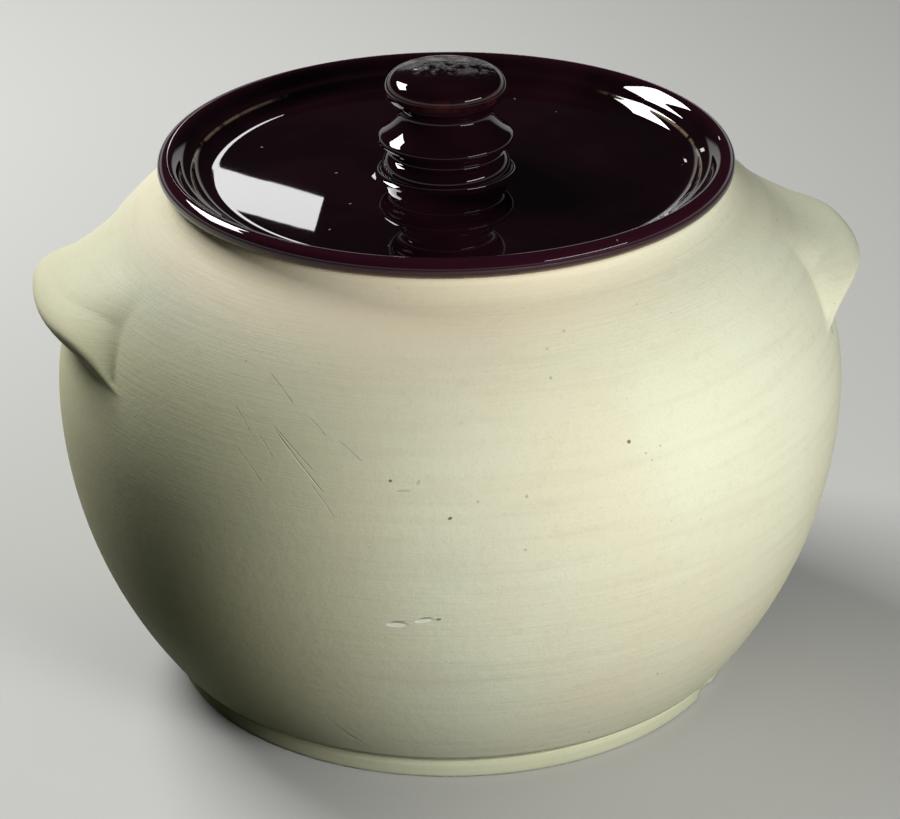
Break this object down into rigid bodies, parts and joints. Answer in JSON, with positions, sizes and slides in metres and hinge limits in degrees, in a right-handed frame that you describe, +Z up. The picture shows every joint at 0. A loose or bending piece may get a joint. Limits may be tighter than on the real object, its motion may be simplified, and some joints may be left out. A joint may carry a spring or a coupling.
{
  "type": "covered bean pot",
  "caption": "Round-bellied stoneware cooking pot with ear lugs on its shoulder and a loose glazed lid with a button knob.",
  "frame": {"origin": "centre of the foot ring, on the surface that the pot stands on", "axes": "+Z up along the pot's axis, +X through one lug, +Y the side away from the picture's camera"},
  "size_m": [0.252, 0.2404, 0.192],
  "materials": {
    "cream_stoneware": "matt",
    "brown_glaze": "gloss"
  },
  "bodies": {
    "root": {"pot": "cream_stoneware", "lid": "brown_glaze"}
  },
  "joints": []
}
